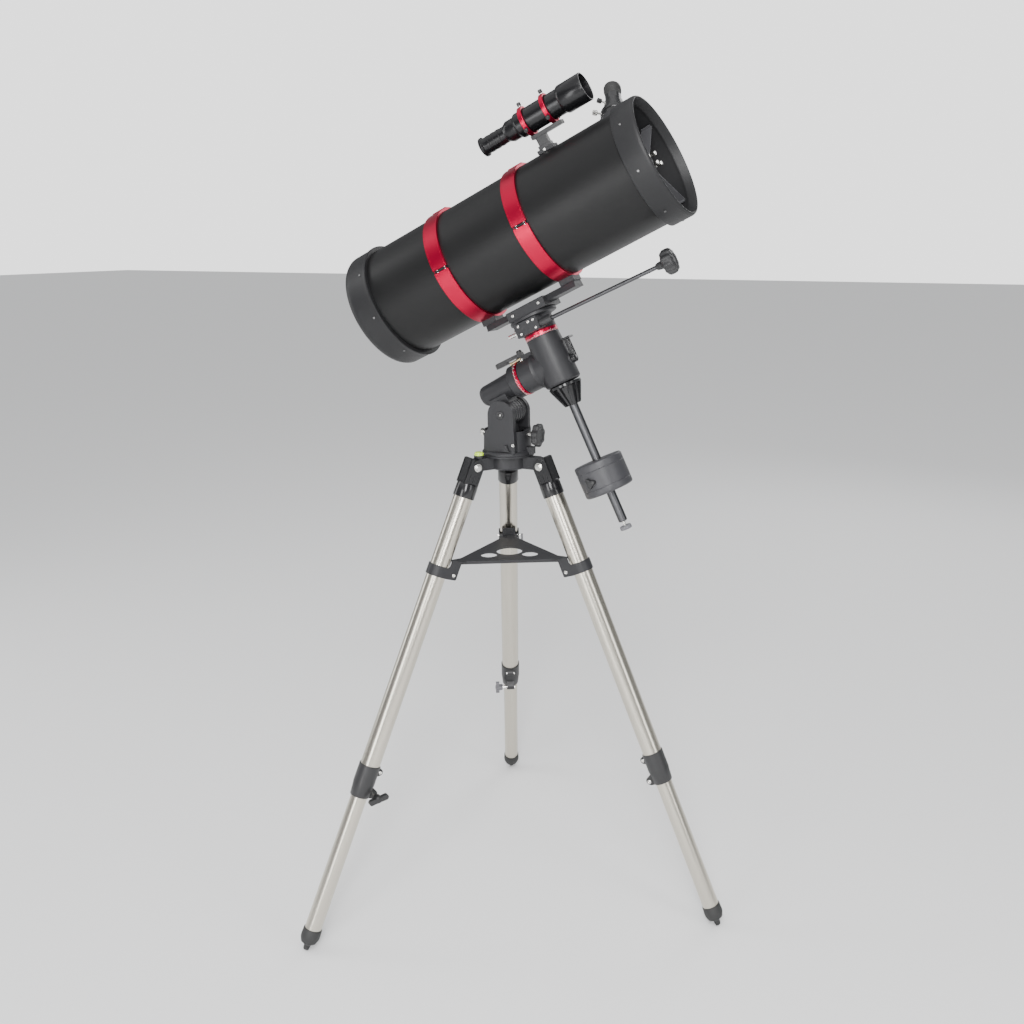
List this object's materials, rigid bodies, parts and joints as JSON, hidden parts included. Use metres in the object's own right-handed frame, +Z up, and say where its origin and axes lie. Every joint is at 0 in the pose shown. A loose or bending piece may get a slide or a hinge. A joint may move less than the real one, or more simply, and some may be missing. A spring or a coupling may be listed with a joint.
{
  "type": "newtonian reflector telescope",
  "caption": "Newtonian reflector telescope: black tube in crimson rings on an equatorial mount with counterweight, finder, focuser and folding steel tripod.",
  "frame": {"origin": "on the floor, under the middle of the bounding box", "axes": "+Z up; +X towards the end that the polar axis and the tube point to; +Y to the focuser side"},
  "size_m": [0.8004, 0.8244, 1.6676],
  "materials": {
    "tube_paint": "satin black",
    "end_ring_paint": "textured satin black",
    "red_anodised": "crimson anodised, satin",
    "mount_paint": "charcoal satin",
    "weight_paint": "charcoal satin paint",
    "leg_steel": "brushed",
    "bright_steel": "bright zinc",
    "gloss_black": "gloss",
    "black_plastic": "matte",
    "finder_black": "gloss black anodised",
    "rubber": "matte",
    "mirror": "first-surface mirror",
    "level_vial": "clear yellow-green",
    "shaft_metal": "black oxide, satin"
  },
  "bodies": {
    "base": {"tripod_hub": "mount_paint", "bubble_level": "level_vial", "leg_bolt_1": "bright_steel", "leg_bolt_2": "bright_steel", "leg_bolt_3": "bright_steel"},
    "leg_1": {"leg_socket_1": "gloss_black", "upper_leg_1": "leg_steel", "tray_clamp_1": "mount_paint", "leg_collar_1": "black_plastic"},
    "lower_leg_1": {"lower_leg_1": "leg_steel", "leg_foot_1": "rubber"},
    "leg_screw_1": {"leg_knob_1": "black_plastic"},
    "leg_2": {"leg_socket_2": "gloss_black", "upper_leg_2": "leg_steel", "tray_clamp_2": "mount_paint", "leg_collar_2": "black_plastic"},
    "lower_leg_2": {"lower_leg_2": "leg_steel", "leg_foot_2": "rubber"},
    "leg_screw_2": {"leg_knob_2": "black_plastic"},
    "leg_3": {"leg_socket_3": "gloss_black", "upper_leg_3": "leg_steel", "tray_clamp_3": "mount_paint", "leg_collar_3": "black_plastic"},
    "lower_leg_3": {"lower_leg_3": "leg_steel", "leg_foot_3": "rubber"},
    "leg_screw_3": {"leg_knob_3": "black_plastic"},
    "tray": {"accessory_tray": "mount_paint"},
    "azimuth": {"azimuth_base": "mount_paint", "latitude_bolt": "bright_steel"},
    "latitude_screw": {"latitude_knob": "black_plastic"},
    "polar": {"ra_housing": "mount_paint", "ra_setting_circle": "red_anodised"},
    "right_ascension": {"dec_housing": "mount_paint", "counterweight_shaft": "shaft_metal", "shaft_skirt": "gloss_black"},
    "ra_clutch": {"ra_lock_lever": "black_plastic"},
    "dec_clutch": {"dec_lock_lever": "gloss_black"},
    "weight": {"counterweight": "weight_paint"},
    "weight_screw": {"counterweight_knob": "black_plastic"},
    "end_screw": {"shaft_end_screw": "black_plastic"},
    "declination": {"dec_head": "mount_paint", "dec_setting_circle": "red_anodised", "saddle": "mount_paint", "dovetail_bar": "mount_paint", "tube_ring_rear": "red_anodised", "tube_ring_front": "red_anodised"},
    "slow_motion": {"slow_motion_rod": "shaft_metal"},
    "saddle_screw": {"saddle_knob": "black_plastic"},
    "tube": {"main_tube": "tube_paint", "front_end_ring": "end_ring_paint", "rear_cell": "end_ring_paint", "primary_mirror": "mirror", "spider": "black_plastic", "secondary_mirror": "mirror", "focuser_body": "mount_paint", "finder_scope": "finder_black", "finder_bracket": "red_anodised"},
    "drawtube": {"focuser_drawtube": "finder_black", "eyepiece": "gloss_black"},
    "focus_pinion": {"focus_knob": "black_plastic"}
  },
  "joints": [
    {"name": "tripod_fold", "type": "hinge", "parent": "base", "child": "leg_2", "pos_m": [-0.10756, 0.05444, 0.90572], "axis": [-0.9003, -0.4352, 0], "range_deg": [0, 20]},
    {"name": "leg_1_fold", "type": "hinge", "parent": "base", "child": "leg_1", "pos_m": [0.00562, -0.02247, 0.90572], "axis": [0.0732, 0.9973, 0], "range_deg": [0, 20]},
    {"name": "leg_3_fold", "type": "hinge", "parent": "base", "child": "leg_3", "pos_m": [-0.11758, -0.08202, 0.90572], "axis": [0.8271, -0.5621, 0], "range_deg": [0, 20]},
    {"name": "tray_fold", "type": "hinge", "parent": "leg_2", "child": "tray", "pos_m": [-0.13019, 0.10126, 0.71472], "axis": [-0.9003, -0.4352, 0], "range_deg": [-108, 0]},
    {"name": "leg_1_extension", "type": "slide", "parent": "leg_1", "child": "lower_leg_1", "axis": [-0.3929, 0.0289, 0.9191], "range_m": [0, 0.22]},
    {"name": "leg_1_screw_turn", "type": "hinge", "parent": "leg_1", "child": "leg_screw_1", "pos_m": [0.24508, -0.04005, 0.28077], "axis": [0.0732, 0.9973, 0], "continuous": true},
    {"name": "leg_2_extension", "type": "slide", "parent": "leg_2", "child": "lower_leg_2", "axis": [0.1715, -0.3547, 0.9191], "range_m": [0, 0.22]},
    {"name": "leg_2_screw_turn", "type": "hinge", "parent": "leg_2", "child": "leg_screw_2", "pos_m": [-0.21206, 0.27062, 0.28077], "axis": [-0.9003, -0.4352, 0], "continuous": true},
    {"name": "leg_3_extension", "type": "slide", "parent": "leg_3", "child": "lower_leg_3", "axis": [0.2214, 0.3258, 0.9191], "range_m": [0, 0.22]},
    {"name": "leg_3_screw_turn", "type": "hinge", "parent": "leg_3", "child": "leg_screw_3", "pos_m": [-0.25254, -0.28061, 0.28077], "axis": [0.8271, -0.5621, 0], "continuous": true},
    {"name": "azimuth_turn", "type": "hinge", "parent": "base", "child": "azimuth", "pos_m": [-0.07317, -0.01668, 0.92572], "axis": [0, 0, 1], "range_deg": [-10, 10]},
    {"name": "latitude_screw_turn", "type": "hinge", "parent": "azimuth", "child": "latitude_screw", "pos_m": [-0.01317, -0.01668, 0.96522], "axis": [1, 0, 0], "continuous": true},
    {"name": "latitude_tilt", "type": "hinge", "parent": "azimuth", "child": "polar", "pos_m": [-0.06967, -0.01668, 1.00822], "axis": [0, -1, 0], "range_deg": [-6, 38]},
    {"name": "right_ascension_turn", "type": "hinge", "parent": "polar", "child": "right_ascension", "pos_m": [-0.00733, -0.01668, 1.09277], "axis": [0.8949, 0, 0.4462], "range_deg": [-90, 90]},
    {"name": "ra_clutch_turn", "type": "hinge", "parent": "right_ascension", "child": "ra_clutch", "pos_m": [-0.04441, -0.01668, 1.1268], "axis": [-0.4462, 0, 0.8949], "range_deg": [-30, 30]},
    {"name": "dec_clutch_turn", "type": "hinge", "parent": "right_ascension", "child": "dec_clutch", "pos_m": [0.07142, -0.01668, 1.12532], "axis": [0.8949, 0, 0.4462], "range_deg": [-30, 30]},
    {"name": "counterweight_slide", "type": "slide", "parent": "right_ascension", "child": "weight", "axis": [-0.421, 0, 0.907], "range_m": [-0.05, 0.1]},
    {"name": "counterweight_screw_turn", "type": "hinge", "parent": "weight", "child": "weight_screw", "pos_m": [0.1348, -0.01668, 0.89218], "axis": [-0.1886, -0.9781, -0.0875], "continuous": true},
    {"name": "end_screw_turn", "type": "hinge", "parent": "right_ascension", "child": "end_screw", "pos_m": [0.1769, -0.01668, 0.80148], "axis": [-0.421, 0, 0.907], "continuous": true},
    {"name": "declination_turn", "type": "hinge", "parent": "right_ascension", "child": "declination", "pos_m": [0.00126, -0.01668, 1.17192], "axis": [-0.4462, 0, 0.8949], "continuous": true},
    {"name": "slow_motion_turn", "type": "hinge", "parent": "declination", "child": "slow_motion", "pos_m": [-0.00409, -0.05768, 1.18265], "axis": [0.9063, 0, 0.4226], "continuous": true},
    {"name": "saddle_screw_turn", "type": "hinge", "parent": "declination", "child": "saddle_screw", "pos_m": [-0.0112, 0.03032, 1.22269], "axis": [0, 1, 0], "continuous": true},
    {"name": "tube_turn", "type": "hinge", "parent": "declination", "child": "tube", "pos_m": [-0.07502, -0.01668, 1.3406], "axis": [0.8949, 0, 0.4462], "range_deg": [-60, 60]},
    {"name": "focus_travel", "type": "slide", "parent": "tube", "child": "drawtube", "axis": [-0.321, 0.6947, 0.6438], "range_m": [-0.018, 0.032]},
    {"name": "focus_turn", "type": "hinge", "parent": "tube", "child": "focus_pinion", "pos_m": [0.13383, 0.11344, 1.53578], "axis": [0.8949, 0, 0.4462], "range_deg": [-290, 165]}
  ],
  "couplings": [
    {"joint": "leg_1_fold", "follows": "tripod_fold", "ratio": 1},
    {"joint": "leg_3_fold", "follows": "tripod_fold", "ratio": 1},
    {"joint": "tray_fold", "follows": "tripod_fold", "ratio": -5.4},
    {"joint": "focus_turn", "follows": "focus_travel", "rad_per_m": -154}
  ]
}
